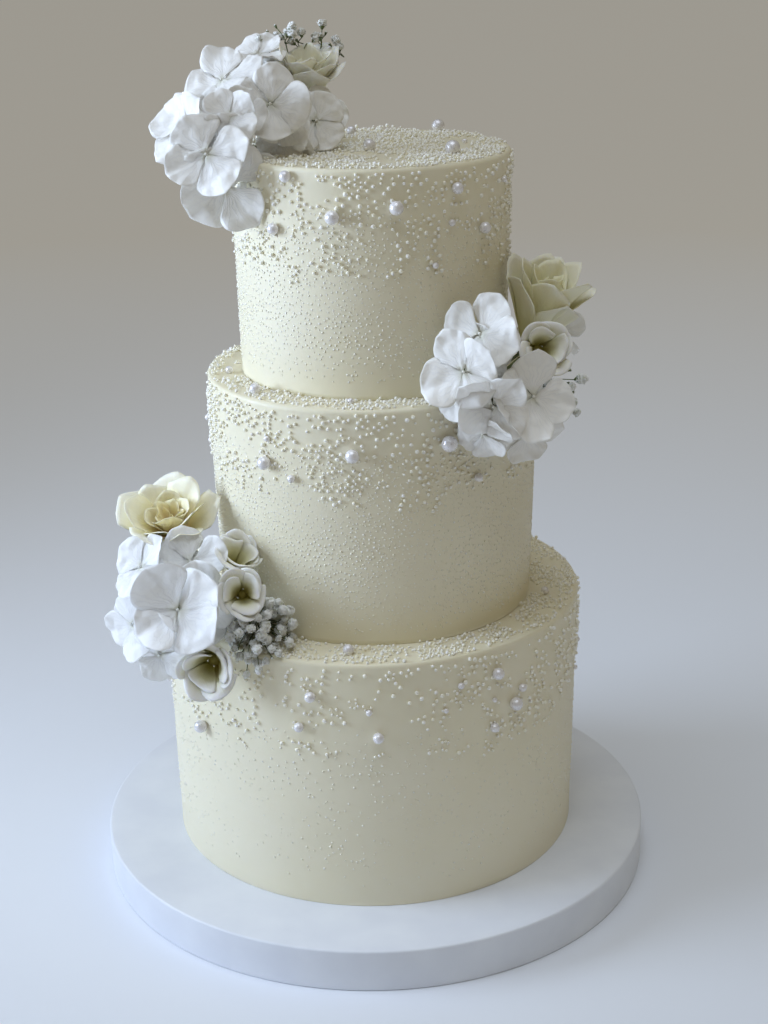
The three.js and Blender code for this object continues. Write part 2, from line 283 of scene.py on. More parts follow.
def rose_skin(name, throat, middle, edge):
    """Thick cream petals, warmer towards the foot, with faint long veins."""
    made = Finish(name, Roughness=0.58, Subsurface_Weight=0.3, Subsurface_Scale=0.0006)
    made.feed(made.shader.inputs["Subsurface Radius"], (1.0, 0.9, 0.6))
    along = made.petal("Y")
    patchy = made.maths("MULTIPLY", made.maths("SUBTRACT", made.noise(60, 3), 0.5), 0.25)
    uneven = made.maths("ADD", along, patchy)
    made.feed(made.shader.inputs["Base Color"], made.ramp(
        uneven, (0.08, throat), (0.5, middle), (0.92, edge)))
    lines = made.maths("SINE", made.maths("MULTIPLY", made.petal("X"), 120.0))
    made.bump(made.maths("MULTIPLY", lines, made.noise(90, 2)), 0.00004)
    made.bump(made.noise(800, 2), 0.00003)
    return made.material


def puff_white():
    """Gypsophila heads: white, with grey-green patches strewn by noise that paint a green-tinted shade."""
    made = Finish("gypsophila white", Roughness=0.7, Subsurface_Weight=0.4, Subsurface_Scale=0.0005)
    made.feed(made.shader.inputs["Subsurface Radius"], (1.0, 1.0, 1.0))
    # The grey-green stop is painted shade, strewn over the heads by noise.
    made.feed(made.shader.inputs["Base Color"], made.ramp(
        made.noise(650, 2),
        (0.3, (0.70, 0.74, 0.58)), (0.42, (0.92, 0.93, 0.88)), (0.55, (0.97, 0.975, 0.96))))
    made.bump(made.noise(1600, 2), 0.0001)
    return made.material


def stem_green():
    """Green stalks with fine ridges along them."""
    made = Finish("stem green", Roughness=0.55)
    made.feed(made.shader.inputs["Base Color"], made.ramp(
        made.noise(150, 3), (0.3, (0.05, 0.07, 0.022)), (0.7, (0.17, 0.21, 0.075))))
    made.bump(made.noise(1.0, 2, made.stretched((900, 900, 120))), 0.00008)
    return made.material


# ---------- standing a piece in the scene ----------

def stand(name, mesh, slot, look, replaced=()):
    """Makes a finished mesh a piece of the cake."""
    mesh.materials.append(look)
    mesh.shade_smooth()
    piece = bpy.data.objects.new(name, mesh)
    bpy.context.scene.collection.objects.link(piece)
    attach(piece, "root")
    if replaced:
        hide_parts(*replaced)
    return piece


def mesh_of(shape, name):
    mesh = bpy.data.meshes.new(name)
    shape.to_mesh(mesh)
    shape.free()
    return mesh


# ---------- the board and the tiers ----------

RIM_ROUND = 2.6 * MM
FOOT_ROUND = 0.5 * MM
FOOT_GAP = 0.3 * MM             # left under each tier's solid, which the icing fills
ROUND_STEPS = 200               # round a tier
SIDE_CUTS = 44                  # rows up a tier's side
TOP_CUTS = 16                   # rings across a tier's top
ICING_SWELL = 0.35 * MM         # how far the scraped side wanders in and out


def tier_of(name):
    """A tier's axis, floor, top and radii, as the frame has them."""
    low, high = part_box(name)
    axis = Vector(((low.x + high.x) / 2, (low.y + high.y) / 2, 0))
    foot = [v.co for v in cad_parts[name].data.vertices if v.co.z < low.z + 2 * MM]
    foot_radius = max(math.hypot(p.x - axis.x, p.y - axis.y) for p in foot)
    return SimpleNamespace(
        name=name, axis=axis, floor=low.z, top=high.z,
        foot_radius=foot_radius, top_radius=(high.x - low.x) / 2)


def side_radius(tier, height):
    rise = (height - tier.floor) / (tier.top - tier.floor)
    return tier.foot_radius + rise * (tier.top_radius - tier.foot_radius)


def turned(outline, axis, rounds, cuts):
    """Spins an outline of (radius, height) corners round a vertical axis.

    rounds gives the radius that softens a corner, and cuts the rows added along the stretch
    that starts at a corner, both by the corner's number.
    """
    shape = bmesh.new()
    corners = [shape.verts.new((axis.x + r, axis.y, h)) for r, h in outline]
    stretches = [shape.edges.new(pair) for pair in zip(corners, corners[1:])]
    for number, count in cuts.items():
        bmesh.ops.subdivide_edges(shape, edges=[stretches[number]], cuts=count)
    for number, softness in rounds.items():
        place = Vector((axis.x + outline[number][0], axis.y, outline[number][1]))
        corner = min(shape.verts, key=lambda vertex: (vertex.co - place).length)
        bmesh.ops.bevel(
            shape, geom=[corner], offset=softness, segments=5, profile=0.5,
            affect="VERTICES", material=-1)
    bmesh.ops.spin(
        shape, geom=shape.verts[:] + shape.edges[:], cent=axis, axis=UP, angle=FULL_TURN,
        steps=ROUND_STEPS, use_merge=True, use_duplicate=False)
    bmesh.ops.remove_doubles(shape, verts=shape.verts, dist=0.01 * MM)
    bmesh.ops.recalc_face_normals(shape, faces=shape.faces)
    return shape


def ice_tier(tier, look):
    outline = [
        (0, tier.floor - FOOT_GAP), (tier.foot_radius, tier.floor - FOOT_GAP),
        (tier.top_radius, tier.top), (0, tier.top)]
    shape = turned(
        outline, tier.axis, {1: FOOT_ROUND, 2: RIM_ROUND}, {1: SIDE_CUTS, 2: TOP_CUTS})
    for vertex in shape.verts:
        place = vertex.co
        out = Vector((place.x - tier.axis.x, place.y - tier.axis.y, 0))
        if out.length < 1 * MM or place.z < tier.floor + 0.1 * MM:
            continue
        swell = noise.noise(Vector((place.x * 16, place.y * 16, place.z * 30)) + 7 * tier.axis)
        drag = noise.noise(Vector((place.x * 5, place.y * 5, place.z * 110)))
        if place.z > tier.top - 0.2 * MM:
            place.z += ICING_SWELL * 1.2 * (swell - 0.3) * min(1, out.length / tier.top_radius * 1.2)
        else:
            vertex.co = place + out.normalized() * ICING_SWELL * (swell + 0.3 * drag)
    stand(f"iced_{tier.name}", mesh_of(shape, tier.name), "buttercream", look, [tier.name])


def cover_board(look):
    low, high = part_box("cake_board")
    axis = Vector(((low.x + high.x) / 2, (low.y + high.y) / 2, 0))
    radius = (high.x - low.x) / 2
    outline = [(0, low.z), (radius, low.z), (radius, high.z), (0, high.z)]
    shape = turned(outline, axis, {1: 1.2 * MM, 2: 1.4 * MM}, {1: 6, 2: 20})
    for vertex in shape.verts:
        place = vertex.co
        if low.z + 3 * MM < place.z < high.z - 3 * MM:
            out = Vector((place.x - axis.x, place.y - axis.y, 0)).normalized()
            vertex.co = place + out * 0.12 * MM * noise.noise(place * 40)
    stand("board_cover", mesh_of(shape, "board_cover"), "board", look, ["cake_board"])


# ---------- sugar pearls ----------

PEARL_PRESS = 0.6 * MM          # how far a pearl is pressed into the icing

# How many small pearls there are on each tier's side and on its top.
SMALL_PEARLS = {"bottom_tier": (31, 5), "middle_tier": (22, 7), "top_tier": (18, 2)}
SMALLEST_PEARL, PEARL_RANGE = 3.1 * MM, 3.1 * MM
PEARL_BAND = (6 * MM, 56 * MM)  # how far below the rim they lie
PEARL_MARGIN = 6 * MM           # kept clear on a ledge, at the rim and at the tier above
BARE_TOP = 50 * MM              # round the middle of the top tier, where none lie


def side_spot(tier, azimuth, height, lift):
    """A point at a height on a tier's side, standing off it by lift."""
    reach = side_radius(tier, height) + lift
    return Vector((
        tier.axis.x + reach * math.cos(azimuth), tier.axis.y + reach * math.sin(azimuth), height))


def top_spot(tier, azimuth, reach, lift):
    return Vector((
        tier.axis.x + reach * math.cos(azimuth), tier.axis.y + reach * math.sin(azimuth),
        tier.top + lift))


def large_pearls(tiers):
    """The centre and size of each pearl node, one after the other."""
    for name in sorted(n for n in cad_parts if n.startswith("pearl_")):
        low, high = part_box(name)
        middle = (low + high) / 2
        on_top = next((t for t in tiers if abs(low.z - t.top) < 1 * MM), None)
        if on_top:
            size = max(high.x - low.x, high.y - low.y)
            yield name, Vector((middle.x, middle.y, high.z - size / 2)), size
        else:
            size = high.z - low.z
            tier = next(t for t in tiers if t.floor < middle.z < t.top)
            azimuth = math.atan2(middle.y - tier.axis.y, middle.x - tier.axis.x)
            yield name, side_spot(tier, azimuth, middle.z, size / 2 - PEARL_PRESS), size


def small_pearls(tier, upper, others, rng):
    """Small pearls strewn round a tier, more of them near the rim, clear of the others."""
    on_side, on_top = SMALL_PEARLS[tier.name]
    highest, lowest = PEARL_BAND
    inner = upper.foot_radius + PEARL_MARGIN if upper else BARE_TOP
    placed = []
    while len(placed) < on_side + on_top:
        size = SMALLEST_PEARL + PEARL_RANGE * rng.random() ** 2
        azimuth = rng.uniform(-math.pi, math.pi)
        lift = size / 2 - PEARL_PRESS
        if len(placed) < on_side:
            drop = highest + (lowest - highest) * rng.random() ** 1.2
            centre = side_spot(tier, azimuth, tier.top - drop, lift)
        else:
            centre = top_spot(tier, azimuth, rng.uniform(inner, tier.top_radius - PEARL_MARGIN), lift)
        if all((centre - other).length > 0.8 * (size + width) for other, width in others + placed):
            placed.append((centre, size))
    return placed


def pearl_piece(name, pearls, fineness, look, replaced=()):
    shape = bmesh.new()
    for centre, size in pearls:
        bmesh.ops.create_icosphere(
            shape, subdivisions=fineness, radius=size / 2, matrix=Matrix.Translation(centre))
    stand(name, mesh_of(shape, name), "pearl", look, replaced)


# ---------- nonpareils and grains ----------

STREWN_CELL = 3 * MM            # wider than any bead
BARE_RIM = 3.2 * MM             # left free of beads along a rim
SIDE_BEAD = (1.5, 2.6)          # millimetres across, from the smallest to the largest
LEDGE_BEAD = (1.5, 2.5)
SPECK = (1.1, 1.9)

class Strewn:
    """Spots strewn over a surface in flat measures, kept apart by a grid of cells."""

    def __init__(self, cell):
        self.cell = cell
        self.taken = {}

    def room(self, u, v, radius, closeness):
        i, j = int(u // self.cell), int(v // self.cell)
        for a in range(i - 2, i + 3):
            for b in range(j - 2, j + 3):
                for x, y, r in self.taken.get((a, b), ()):
                    if math.hypot(u - x, v - y) < closeness * (radius + r):
                        return False
        return True

    def take(self, u, v, radius):
        key = (int(u // self.cell), int(v // self.cell))
        self.taken.setdefault(key, []).append((u, v, radius))


def kernel_of(shape):
    """The corners and the triangles of a shape that is repeated many times."""
    bmesh.ops.triangulate(shape, faces=shape.faces)
    corners = np.array([v.co for v in shape.verts])
    faces = np.array([[v.index for v in f.verts] for f in shape.faces])
    shape.free()
    return corners, faces


def joined(name, kernel, centres, sizes):
    """A mesh of many copies of a kernel, each with its centre and its size."""
    corners, faces = kernel
    centres, scales = np.array(centres), np.array(sizes)[:, None, None]
    placed = corners[None] * scales + centres[:, None]
    numbers = faces[None] + (np.arange(len(centres)) * len(corners))[:, None, None]
    mesh = bpy.data.meshes.new(name)
    mesh.from_pydata(placed.reshape(-1, 3).tolist(), [], numbers.reshape(-1, 3).tolist())
    return mesh


def bead_group(rng, size):
    """The offsets of one bead, a chain, a ring or a clump of beads, in bead sizes."""
    form = rng.choices(("one", "chain", "ring", "clump"), (64, 12, 4, 20))[0]
    step = rng.uniform(1.1, 1.5) * size
    if form == "one":
        return [(0, 0)]
    if form == "chain":
        heading, spots, u, v = rng.uniform(0, FULL_TURN), [], 0, 0
        for _ in range(rng.randint(2, 5)):
            spots.append((u, v))
            heading += rng.uniform(-1.2, 1.2)
            u += step * math.cos(heading)
            v += step * math.sin(heading)
        return spots
    if form == "ring":
        count = rng.randint(4, 8)
        reach = step / (2 * math.sin(math.pi / count))
        turn, kept = rng.uniform(0, FULL_TURN), rng.randint(count - 2, count)
        return [
            (reach * math.cos(turn + FULL_TURN * i / count), reach * math.sin(turn + FULL_TURN * i / count))
            for i in range(kept)]
    return [
        (rng.gauss(0, 1.5) * size, rng.gauss(0, 1.3) * size) for _ in range(rng.randint(5, 14))]


def strew_side(tier, rng, count, deepest, size_range):
    """Beads on a tier's side, in little groups that thin out down to the deepest."""
    centres, sizes = [], []
    strewn = Strewn(STREWN_CELL)
    for _ in range(20 * count):
        if len(centres) >= count:
            break
        azimuth = rng.uniform(-math.pi, math.pi)
        drop = 4 * MM + deepest * rng.random() ** 1.7
        round_tier = Vector((3.4 * math.cos(azimuth), 3.4 * math.sin(azimuth), 60 * drop))
        patch = noise.noise(round_tier + 90 * tier.axis)
        if rng.random() > 0.55 + 1.1 * patch:
            continue
        size = rng.uniform(*size_range) * MM
        arc = azimuth * tier.top_radius
        for du, dv in bead_group(rng, size):
            u, v, radius = arc + du, drop + dv, size * rng.uniform(0.44, 0.54)
            if v < 2.6 * MM or not strewn.room(u, v, radius, 1.3):
                continue
            strewn.take(u, v, radius)
            centres.append(side_spot(tier, u / tier.top_radius, tier.top - v, 0.7 * radius))
            sizes.append(radius)
    return centres, sizes


def strew_top(tier, upper, rng, count, size_range):
    """Beads lying close together on a ledge or on the top, with a bare line at the rim."""
    centres, sizes = [], []
    strewn = Strewn(STREWN_CELL)
    for _ in range(count * 6):
        if len(centres) >= count:
            break
        azimuth = rng.uniform(-math.pi, math.pi)
        edge = tier.top_radius - BARE_RIM * (0.6 + 0.8 * abs(noise.noise(Vector((
            5 * math.cos(azimuth), 5 * math.sin(azimuth), 1)))))
        reach = edge * math.sqrt(rng.random())
        radius = rng.uniform(*size_range) * MM / 2
        spot = top_spot(tier, azimuth, reach, 0.4 * radius)
        if upper and (spot - upper.axis).xy.length < upper.foot_radius + radius:
            continue
        thin = noise.noise(Vector((spot.x * 55, spot.y * 55, 3 + tier.top)))
        if rng.random() > 0.62 + 1.6 * thin:
            continue
        if not strewn.room(spot.x, spot.y, radius, 0.95):
            continue
        strewn.take(spot.x, spot.y, radius)
        if rng.random() < 0.12:
            spot.z += 1.3 * radius
        centres.append(spot)
        sizes.append(radius)
    return centres, sizes


def strew_specks(tier, rng, count, highest, lowest, size_range):
    """Fine grains of sugar on the lower part of a side."""
    centres, sizes = [], []
    strewn = Strewn(STREWN_CELL)
    for _ in range(12 * count):
        if len(centres) >= count:
            break
        azimuth = rng.uniform(-math.pi, math.pi)
        drop = highest + (lowest - highest) * rng.betavariate(1.5, 1.6)
        round_tier = Vector((4 * math.cos(azimuth), 4 * math.sin(azimuth), 45 * drop))
        patch = noise.noise(round_tier + 50 * tier.axis)
        if rng.random() > 0.7 + 0.6 * patch:
            continue
        radius = rng.uniform(*size_range) * MM / 2
        if not strewn.room(azimuth * tier.top_radius, drop, radius, 1.35):
            continue
        strewn.take(azimuth * tier.top_radius, drop, radius)
        centres.append(side_spot(tier, azimuth, tier.top - drop, -0.35 * radius))
        sizes.append(radius)
    return centres, sizes


# ---------- petals ----------

def add_petal(shape, rows, form, roundness=0.5, tone=1.0):
    """Adds one petal: a grid drawn into a disc, then moved by form(across, along).

    across runs from -1 to 1, and along from 0 at the petal's foot to 1 at its tip. A
    roundness under a half leaves the corners of the grid a little squarer than a disc. A tone
    under 1 keeps the colour of the foot further up the petal.
    """
    chart = shape.loops.layers.uv["petal"]
    made = bmesh.ops.create_grid(shape, x_segments=rows, y_segments=rows, size=1)
    on_petal = {}
    for vertex in made["verts"]:
        x, y = vertex.co.x, vertex.co.y
        on_petal[vertex] = (
            x * math.sqrt(1 - roundness * y * y), (y * math.sqrt(1 - roundness * x * x) + 1) / 2)
    for face in {f for v in made["verts"] for f in v.link_faces}:
        for loop in face.loops:
            across, along = on_petal[loop.vert]
            loop[chart].uv = (across / 2 + 0.5, along * tone)
    for vertex in made["verts"]:
        vertex.co = form(*on_petal[vertex])
    return list(made["verts"])


def flower_shape():
    shape = bmesh.new()
    shape.loops.layers.uv.new("petal")
    return shape


def place_flower(shape, flower):
    """Turns a flower made facing +Z to the way it faces, with its eye at its place."""
    turn = UP.rotation_difference(Vector(flower.facing).normalized()).to_matrix().to_4x4()
    spun = Matrix.Rotation(math.radians(flower.spin), 4, "Z")
    bmesh.ops.transform(shape, matrix=Matrix.Translation(flower.eye) @ turn @ spun, verts=shape.verts)


def thicken(piece, thickness):
    """Gives a piece made of thin skins their thickness, half to each side."""
    skin = piece.modifiers.new("thickness", "SOLIDIFY")
    skin.thickness = thickness
    skin.offset = 0


def finish_flower(shape, flower, slot, look, thickness):
    place_flower(shape, flower)
    piece = stand(f"{flower.node}_petals", mesh_of(shape, flower.node), slot, look, [flower.node])
    thicken(piece, thickness)


def smooth_step(value, low, high):
    t = min(1, max(0, (value - low) / (high - low)))
    return t * t * (3 - 2 * t)


def add_eye(shape, radius, lift):
    """The bead in a floret's middle."""
    chart = shape.loops.layers.uv["petal"]
    made = bmesh.ops.create_icosphere(
        shape, subdivisions=2, radius=radius, matrix=Matrix.Translation((0, 0, lift)))
    for face in {f for v in made["verts"] for f in v.link_faces}:
        for loop in face.loops:
            loop[chart].uv = (0.5, 0.08)
    return list(made["verts"])


def add_floret(shape, length, rng, place):
    """Four broad sepals round a bead of an eye, one pair lying over the other."""
    seed = rng.uniform(0, 100)
    added = add_eye(shape, 0.8 * MM, 0.9 * MM)
    for number in range(4):
        over = 1 if number % 2 else -1
        size = rng.uniform(0.84, 1.06)
        turn = number * math.pi / 2 + rng.uniform(-0.22, 0.22)
        half = rng.uniform(0.52, 0.68) * length
        roll = rng.uniform(-0.3, 0.3)
        fold = rng.uniform(-0.22, 0.34)
        cup = rng.uniform(0.02, 0.34)
        curl = rng.uniform(-0.5, 1.1)
        bend = rng.uniform(0.0, 0.5)
        point = rng.uniform(0.03, 0.13)
        waves = rng.choice((6, 7, 8, 9))

        def form(across, along):
            reach = length * size * (0.03 + 0.97 * along ** 0.9)
            reach += length * point * (1 - abs(across)) ** 2 * smooth_step(along, 0.75, 1)
            side = half * across * (0.32 + 0.68 * smooth_step(along, 0, 0.5))
            crumple = noise.noise(Vector((across * 3.2, along * 5, seed + number)))
            edge = across ** 2 + (2 * along - 1) ** 2
            ruffle = 0.02 * edge ** 3 * math.sin(waves * math.atan2(across, 2 * along - 1) + seed)
            rise = length * (
                cup * along ** 2 - curl * max(0, along - 0.6) ** 2 + roll * across * along
                + fold * abs(across) * along - bend * max(0, abs(across) - 0.55) ** 2
                + 0.055 * crumple * (0.3 + along) + ruffle)
            flat = Vector((reach, side, rise + over * 0.5 * MM * (1 - along)))
            return Matrix.Rotation(turn, 3, "Z") @ flat

        added += add_petal(shape, 16, form)
    bmesh.ops.transform(shape, matrix=place, verts=added)


def hydrangea(flower, rng):
    """A floret, with a second one half hidden behind it."""
    shape = flower_shape()
    length = flower.span / 2
    add_floret(shape, length, rng, Matrix.Identity(4))
    aside, lean = rng.uniform(0, FULL_TURN), rng.uniform(0.1, 0.35)
    outward = Vector((math.cos(aside), math.sin(aside), 0))
    behind = Matrix.Translation(0.36 * length * outward - 0.44 * length * UP)
    tipped = Matrix.Rotation(lean, 4, UP.cross(outward))
    add_floret(shape, 0.84 * length, rng, behind @ tipped @ Matrix.Rotation(math.pi / 4, 4, "Z"))
    # Painted light: the left posy's petals take a cooler white for the cool window light on them, the other
    # posies a warmer white for warm light.
    look = LOOKS.cool_petal if flower.node.startswith("left") else LOOKS.warm_petal
    finish_flower(shape, flower, "hydrangea_petal", look, 0.2 * MM)


# Rings of a rose's petals, from the heart outwards: how many, distance from the axis at foot
# and tip, rise, half reach round the axis in radians, and how far the lip turns out.
ROSE_RINGS = [
    (3, 0.03, 0.10, 0.60, 1.80, 0.00),
    (4, 0.06, 0.24, 0.76, 1.35, 0.03),
    (4, 0.09, 0.42, 0.92, 1.15, 0.08),
    (5, 0.12, 0.68, 0.94, 0.95, 0.15),
    (5, 0.15, 0.92, 0.80, 0.86, 0.17),
]
# For each posy's rose: its look, how far its petals spread and how tall they stand.
ROSE_HABITS = {
    "left": ("warm_rose", 0.98, 1.0), "right": ("green_rose", 0.8, 1.5), "top": ("cream_rose", 0.86, 1.1)}


def rose(flower, rng):
    """Rings of wrapped petals that open outwards, their lips rolled back to a soft point."""
    shape = flower_shape()
    radius = flower.span / 2
    look, spread, stature = ROSE_HABITS[flower.node.split("_")[0]]
    for ring, (count, foot, tip, height, wide, lip) in enumerate(ROSE_RINGS):
        for number in range(count):
            turn = FULL_TURN * (number + 0.5 * ring) / count + rng.uniform(-0.2, 0.2)
            wave, phase = rng.uniform(0.02, 0.06), rng.uniform(0, FULL_TURN)
            tall = stature * height * rng.uniform(0.84, 1.1)
            tip_out = spread * tip * rng.uniform(0.84, 1.1)
            seed = rng.uniform(0, 100)

            def form(across, along):
                out = foot + (tip_out - foot) * along ** (2 - 0.6 * stature)
                out += lip * (4 * max(0, along - 0.7) ** 2 + 0.7 * across ** 4 * along)
                out += 0.06 * across * along + wave * math.sin(3.2 * across + phase) * along
                out += 0.09 * noise.noise(Vector((across * 1.8, along * 2.4, seed))) * along
                around = turn + wide * across * (0.7 + 0.3 * along) / (1 + 0.5 * max(0, out - 0.5))
                rise = -0.54 * stature + tall * along - lip * (
                    2.6 * max(0, along - 0.74) ** 2 + 0.5 * across ** 2 * along ** 2)
                rise += 0.12 * (1 - abs(across)) ** 2 * smooth_step(along, 0.75, 1)
                return Vector((
                    radius * out * math.cos(around), radius * out * math.sin(around), radius * rise))

            add_petal(shape, 16, form, 0.34, tone=0.42 + 0.58 * ring / (len(ROSE_RINGS) - 1))
    finish_flower(shape, flower, "rose_petal", getattr(LOOKS, look), 0.3 * MM)


# A lisianthus's two whorls: how many petals, how large, and how far back they are set.
LISIANTHUS_WHORLS = [(5, 1.0, 0.0), (3, 0.8, -0.1)]


def lisianthus(flower, rng):
    """A deep cup of thin petals, each with one edge under the next, with a waved lip."""
    shape = flower_shape()
    radius = flower.span / 2
    for count, scale, back in LISIANTHUS_WHORLS:
        for number in range(count):
            turn = FULL_TURN * number / count + rng.uniform(-0.16, 0.16)
            phase = rng.uniform(0, FULL_TURN)
            flare = rng.uniform(0.1, 0.34)
            tall = rng.uniform(1.2, 1.45)
            wave = rng.uniform(0.05, 0.12)
            seed = rng.uniform(0, 100)

            def form(across, along):
                out = 0.14 + 0.62 * along ** 0.6 + flare * smooth_step(along, 0.62, 1.05)
                out += 0.11 * across * along + wave * math.sin(3 * across + phase) * along ** 2
                around = turn + 1.05 * across * (0.8 + 0.2 * along)
                rise = -0.98 + tall * along - 0.3 * smooth_step(along, 0.8, 1.15) - back
                rise += wave * math.sin(4 * across + phase) * along ** 3 - 0.14 * across ** 2 * along
                rise += 0.08 * noise.noise(Vector((across * 2, along * 2.4, seed)))
                reach = radius * scale * out
                return Vector((reach * math.cos(around), reach * math.sin(around), radius * rise))

            add_petal(shape, 16, form, 0.3)
    add_eye(shape, 0.21 * radius, -0.99 * radius)
    finish_flower(shape, flower, "lisianthus_petal", LOOKS.lisianthus, 0.3 * MM)


# ---------- gypsophila and stems ----------

PUFF_RADIUS = 4.1 * MM
PUFF_PETALS = 17
# For each posy's spray: how many heads there are in its outer and inner layers.
SPRAYS = {"left": (56, 30), "right": (16, 8)}
TOP_SPRIGS = 5                  # the tall sprigs that stand up out of the top posy
TOP_SPRIG_HEADS = 4             # on each of them, one of which is a bud
TOP_SPRIG_REACH = 26 * MM


def add_rod(shape, start, end, start_radius, end_radius, sides=6):
    """A straight tapering rod between two points."""
    along = end - start
    turn = along.to_track_quat("Z", "Y").to_matrix().to_4x4()
    bmesh.ops.create_cone(
        shape, cap_ends=True, segments=sides, radius1=start_radius, radius2=end_radius,
        depth=along.length, matrix=Matrix.Translation((start + end) / 2) @ turn)


def add_stem(shape, start, end, bend, radius, steps=5):
    """A bent stem from start to end, bulging sideways by bend in its middle."""
    points = [
        start.lerp(end, i / steps) + bend * math.sin(math.pi * i / steps) for i in range(steps + 1)]
    for low, high in zip(points, points[1:]):
        add_rod(shape, low, high, radius, radius * 0.97)


def add_puff(shape, centre, radius, rng):
    """A double gypsophila head: small cupped petals that face every way round a heart."""
    bmesh.ops.create_icosphere(
        shape, subdivisions=1, radius=0.62 * radius, matrix=Matrix.Translation(centre))
    for number in range(PUFF_PETALS):
        height = 1 - 2 * (number + 0.5) / PUFF_PETALS
        around = GOLDEN_TURN * number + rng.uniform(-0.3, 0.3)
        flat = math.sqrt(1 - height * height)
        out = Vector((flat * math.cos(around), flat * math.sin(around), height))
        facing = (out + Vector([rng.uniform(-0.4, 0.4) for _ in range(3)])).normalized()
        turn = facing.to_track_quat("Z", "Y").to_matrix().to_4x4()
        place = Matrix.Translation(centre + radius * rng.uniform(0.5, 0.8) * out) @ turn
        made = bmesh.ops.create_circle(
            shape, cap_ends=True, cap_tris=True, segments=6,
            radius=radius * rng.uniform(0.4, 0.58), matrix=place)
        heart = max(made["verts"], key=lambda vertex: len(vertex.link_edges))
        heart.co -= 0.18 * radius * facing


def heap_spots(node, rng, count, spacing, inset):
    """Points spread over a heap's outline, as the frame has it, sunk inwards by inset."""
    shape = bmesh.new()
    shape.from_mesh(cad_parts[node].data)
    bmesh.ops.remove_doubles(shape, verts=shape.verts, dist=0.01 * MM)
    bmesh.ops.triangulate(shape, faces=shape.faces)
    faces = list(shape.faces)
    areas = [face.calc_area() for face in faces]
    spots = []
    for _ in range(count * 40):
        face = rng.choices(faces, areas)[0]
        a, b = sorted((rng.random(), rng.random()))
        corners = [v.co for v in face.verts]
        spot = corners[0] * a + corners[1] * (b - a) + corners[2] * (1 - b) - face.normal * inset
        if all((spot - other).length > spacing for other in spots):
            spots.append(spot)
        if len(spots) == count:
            break
    shape.free()
    return spots


def add_sprig(heads, green, spot, heart, radius, rng):
    """One head on its stalk, in its green cup, rising from the posy's heart."""
    add_puff(heads, spot, radius, rng)
    back = (heart - spot).normalized()
    bend = Vector((rng.gauss(0, 1), rng.gauss(0, 1), rng.gauss(0, 1))) * 1.5 * MM
    cup = spot + back * radius * 1.1
    add_rod(green, cup, spot + back * radius * 0.5, 0.5 * MM, radius * 0.6, 6)
    add_stem(green, cup, heart, bend, 0.28 * MM, 4)


def add_bud(heads, green, spot, heart, rng):
    """A closed green bud with a white tip, on a thin stalk."""
    back = (heart - spot).normalized()
    bmesh.ops.create_icosphere(heads, subdivisions=1, radius=0.7 * MM, matrix=Matrix.Translation(spot))
    add_rod(green, spot + back * 2.2 * MM, spot, 0.45 * MM, 0.95 * MM, 6)
    bend = Vector((rng.gauss(0, 1), rng.gauss(0, 1), 0)) * 1.5 * MM
    add_stem(green, spot + back * 2 * MM, heart, bend, 0.3 * MM, 4)


def top_sprigs(heads, green, flower, rng):
    """Tall forked sprigs that lean out to both sides, each with heads in flower and a bud."""
    root = flower.eye - UP * 40 * MM
    roof = cad_high.z - 4.5 * MM
    for number in range(TOP_SPRIGS):
        reach = TOP_SPRIG_REACH * (2 * (number + 0.5) / TOP_SPRIGS - 1)
        fork = flower.eye + Vector((
            reach, rng.uniform(-15, -6) * MM, rng.uniform(-3, 4) * MM - 0.25 * max(0, reach)))
        bend = Vector((rng.gauss(0, 1), rng.gauss(0, 1), 0)) * 1.5 * MM
        add_stem(green, fork, root, bend, 0.4 * MM, 4)
        for head in range(TOP_SPRIG_HEADS):
            spot = fork + Vector((rng.uniform(-8, 8), rng.uniform(-5, 5), rng.uniform(4, 12))) * MM
            spot.z = min(spot.z, roof)
            if head == 0:
                add_bud(heads, green, spot, fork, rng)
            else:
                add_sprig(heads, green, spot, fork, PUFF_RADIUS * rng.uniform(0.55, 0.85), rng)


def gypsophila(flower, posy, rng):
    """A spray of gypsophila: heads out to the heap's outline and, under them, an inner layer."""
    heads, green = bmesh.new(), posy.green
    if posy.name == "top":
        top_sprigs(heads, green, flower, rng)
    else:
        heart = flower.eye.lerp(posy.foot, 0.6)
        outer, inner = SPRAYS[posy.name]
        for count, inset in ((outer, 0.7), (inner, 2.4)):
            for spot in heap_spots(flower.node, rng, count, 1.2 * PUFF_RADIUS, inset * PUFF_RADIUS):
                if rng.random() < 0.16:
                    add_bud(heads, green, spot, heart, rng)
                else:
                    add_sprig(heads, green, spot, heart, PUFF_RADIUS * rng.uniform(0.55, 1.05), rng)
    piece = stand(
        f"{flower.node}_heads", mesh_of(heads, flower.node), "gypsophila", LOOKS.puff, [flower.node])
    thicken(piece, 0.12 * MM)


# ---------- the posies ----------

